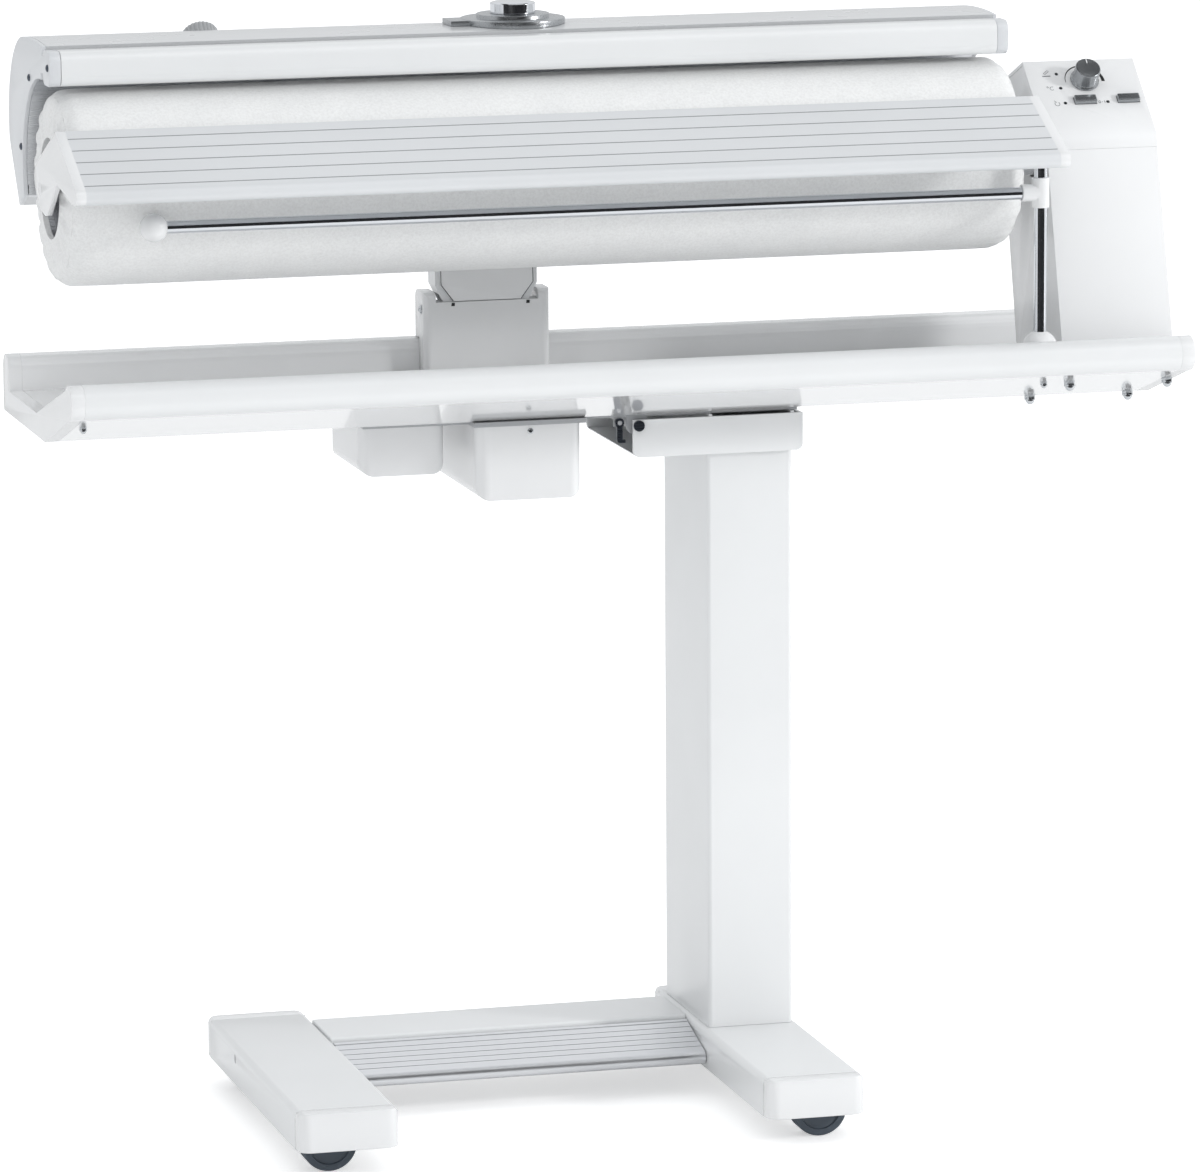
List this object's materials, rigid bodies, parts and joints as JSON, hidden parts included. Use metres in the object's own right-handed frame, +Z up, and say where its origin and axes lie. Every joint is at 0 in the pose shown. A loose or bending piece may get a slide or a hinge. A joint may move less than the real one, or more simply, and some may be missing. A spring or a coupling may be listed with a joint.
{
  "type": "flatwork ironer",
  "caption": "Folding roller ironer on a castor stand, with a driven cloth roller, a hinged heated shoe, a feed board and a laundry tray.",
  "frame": {"origin": "middle of the bounding box, on the floor", "axes": "+X runs along the roller towards the control housing, +Y points away from the person ironing, +Z up"},
  "size_m": [0.986, 0.38, 0.9661],
  "materials": {
    "white_paint": "gloss powder coat",
    "white_plastic": "gloss",
    "grey_plastic": "satin",
    "black_plastic": "matt",
    "tyre_grey": "matt",
    "zinc_steel": "zinc plated",
    "chrome_rod": "polished",
    "bare_aluminium": "brushed",
    "tray_aluminium": "white coated",
    "cast_arm": "coated casting",
    "roller_cloth": "felt and cotton",
    "heater_steel": "oxidised",
    "gear_nylon": "moulded",
    "motor_steel": "painted can",
    "board_green": "lacquered board",
    "lamp": "clear tinted",
    "silver_button": "metallic"
  },
  "bodies": {
    "stand": {"left_foot": "white_paint", "right_foot": "white_paint", "foot_end_caps": "white_plastic", "cross_beam": "white_paint", "column": "white_paint", "column_head": "white_paint", "fold_pin": "zinc_steel", "treadle_pin": "zinc_steel", "treadle_spring": "zinc_steel"},
    "treadle_plate": {"treadle": "bare_aluminium"},
    "machine": {"chassis": "zinc_steel", "tray": "tray_aluminium", "front_rail": "tray_aluminium", "tray_end_caps": "white_plastic", "relay_casing": "white_plastic", "drive_casing": "white_plastic", "press_motor": "motor_steel", "neck_casing": "white_plastic", "shoe_hinge_pin": "zinc_steel", "roller_bracket": "zinc_steel", "roller_axle": "zinc_steel", "roller_bearings": "zinc_steel", "drive_motor": "motor_steel", "feed_board": "grey_plastic", "feed_brackets": "white_plastic", "rail_post": "chrome_rod", "rail_foot": "white_plastic", "control_housing": "white_plastic", "control_panel": "white_plastic", "control_board": "board_green", "indicator_lights": "lamp"},
    "latch": {"fold_latch": "zinc_steel"},
    "cam": {"press_cam": "gear_nylon"},
    "shoe": {"shoe_arm": "cast_arm", "shoe_plate": "bare_aluminium", "heating_rods": "heater_steel", "shoe_cover": "white_paint", "shoe_end_plates": "grey_plastic", "top_flange": "grey_plastic"},
    "guard": {"finger_guard": "white_plastic"},
    "cap": {"filler_cap": "chrome_rod"},
    "small_knob": {"fluted_knob": "grey_plastic"},
    "roller": {"roller_tube": "bare_aluminium", "roller_cloth": "roller_cloth", "roller_gear": "gear_nylon"},
    "pinion": {"motor_pinion": "zinc_steel"},
    "rail": {"rail_clip": "white_plastic", "drying_rail": "chrome_rod", "rail_ball": "white_plastic"},
    "knob": {"temperature_knob": "silver_button"},
    "button_left": {"left_button": "silver_button"},
    "button_right": {"right_button": "silver_button"},
    "fork_front_left": {"castor_fork_front_left": "black_plastic"},
    "wheel_front_left": {"castor_wheel_front_left": "tyre_grey"},
    "fork_front_right": {"castor_fork_front_right": "black_plastic"},
    "wheel_front_right": {"castor_wheel_front_right": "tyre_grey"},
    "fork_rear_left": {"castor_fork_rear_left": "black_plastic"},
    "wheel_rear_left": {"castor_wheel_rear_left": "tyre_grey"},
    "fork_rear_right": {"castor_fork_rear_right": "black_plastic"},
    "wheel_rear_right": {"castor_wheel_rear_right": "tyre_grey"}
  },
  "joints": [
    {"name": "fold", "type": "hinge", "parent": "stand", "child": "machine", "pos_m": [0.03, 0.0875, 0.599], "axis": [0, -1, 0], "range_deg": [0, 90]},
    {"name": "swivel_front_left", "type": "hinge", "parent": "stand", "child": "fork_front_left", "pos_m": [-0.279, -0.15, 0.05], "axis": [0, 0, 1], "continuous": true},
    {"name": "roll_front_left", "type": "hinge", "parent": "fork_front_left", "child": "wheel_front_left", "pos_m": [-0.29, -0.15, 0.024], "axis": [0, 1, 0], "continuous": true},
    {"name": "swivel_front_right", "type": "hinge", "parent": "stand", "child": "fork_front_right", "pos_m": [0.132, -0.15, 0.05], "axis": [0, 0, 1], "continuous": true},
    {"name": "roll_front_right", "type": "hinge", "parent": "fork_front_right", "child": "wheel_front_right", "pos_m": [0.143, -0.15, 0.024], "axis": [0, 1, 0], "continuous": true},
    {"name": "swivel_rear_left", "type": "hinge", "parent": "stand", "child": "fork_rear_left", "pos_m": [-0.279, 0.146, 0.05], "axis": [0, 0, 1], "continuous": true},
    {"name": "roll_rear_left", "type": "hinge", "parent": "fork_rear_left", "child": "wheel_rear_left", "pos_m": [-0.29, 0.146, 0.024], "axis": [0, 1, 0], "continuous": true},
    {"name": "swivel_rear_right", "type": "hinge", "parent": "stand", "child": "fork_rear_right", "pos_m": [0.132, 0.146, 0.05], "axis": [0, 0, 1], "continuous": true},
    {"name": "roll_rear_right", "type": "hinge", "parent": "fork_rear_right", "child": "wheel_rear_right", "pos_m": [0.143, 0.146, 0.024], "axis": [0, 1, 0], "continuous": true},
    {"name": "treadle_hinge", "type": "hinge", "parent": "stand", "child": "treadle_plate", "pos_m": [-0.0735, 0.0638, 0.04733], "axis": [1, 0, 0], "range_deg": [0, 7], "stiffness_Nm_per_rad": 6, "springref_deg": -3.44, "deforming": ["treadle_spring"]},
    {"name": "latch_hinge", "type": "hinge", "parent": "machine", "child": "latch", "pos_m": [0.014, 0.0115, 0.6016], "axis": [0, -1, 0], "range_deg": [0, 40]},
    {"name": "roller_spin", "type": "hinge", "parent": "machine", "child": "roller", "pos_m": [0, 0.013, 0.8245], "axis": [1, 0, 0], "continuous": true},
    {"name": "pinion_spin", "type": "hinge", "parent": "machine", "child": "pinion", "pos_m": [0.4016, 0.013, 0.7879], "axis": [1, 0, 0], "continuous": true},
    {"name": "shoe_press", "type": "hinge", "parent": "machine", "child": "shoe", "pos_m": [-0.07, 0.156, 0.687], "axis": [1, 0, 0], "range_deg": [0, 3.3]},
    {"name": "cam_turn", "type": "hinge", "parent": "machine", "child": "cam", "pos_m": [-0.07, 0.1291, 0.5826], "axis": [1, 0, 0], "range_deg": [0, 180]},
    {"name": "guard_tilt", "type": "hinge", "parent": "shoe", "child": "guard", "pos_m": [-0.07, -0.00279, 0.93429], "axis": [1, 0, 0], "range_deg": [0, 5], "stiffness_Nm_per_rad": 4, "springref_deg": -3.44},
    {"name": "cap_turn", "type": "hinge", "parent": "shoe", "child": "cap", "pos_m": [-0.067, 0.058, 0.94729], "axis": [0, 0, 1], "range_deg": [0, 270]},
    {"name": "small_knob_turn", "type": "hinge", "parent": "shoe", "child": "small_knob", "pos_m": [-0.319, 0.14841, 0.91796], "axis": [0, 0.766, 0.6428], "range_deg": [0, 270]},
    {"name": "rail_swing", "type": "hinge", "parent": "machine", "child": "rail", "pos_m": [0.363, -0.087, 0.801], "axis": [0, 0, 1], "range_deg": [0, 110]},
    {"name": "knob_turn", "type": "hinge", "parent": "machine", "child": "knob", "pos_m": [0.4395, 0.02452, 0.88276], "axis": [0, 0.6601, -0.7512], "range_deg": [0, 280]},
    {"name": "press_left", "type": "slide", "parent": "machine", "child": "button_left", "axis": [0, 0.6601, -0.7512], "range_m": [0, 0.0016], "stiffness_N_per_m": 600, "springref_m": -0.001},
    {"name": "press_right", "type": "slide", "parent": "machine", "child": "button_right", "axis": [0, 0.6601, -0.7512], "range_m": [0, 0.0016], "stiffness_N_per_m": 600, "springref_m": -0.001}
  ],
  "couplings": [
    {"joint": "pinion_spin", "follows": "roller_spin", "ratio": -3.1429},
    {"joint": "cam_turn", "follows": "shoe_press", "ratio": 54.545}
  ]
}
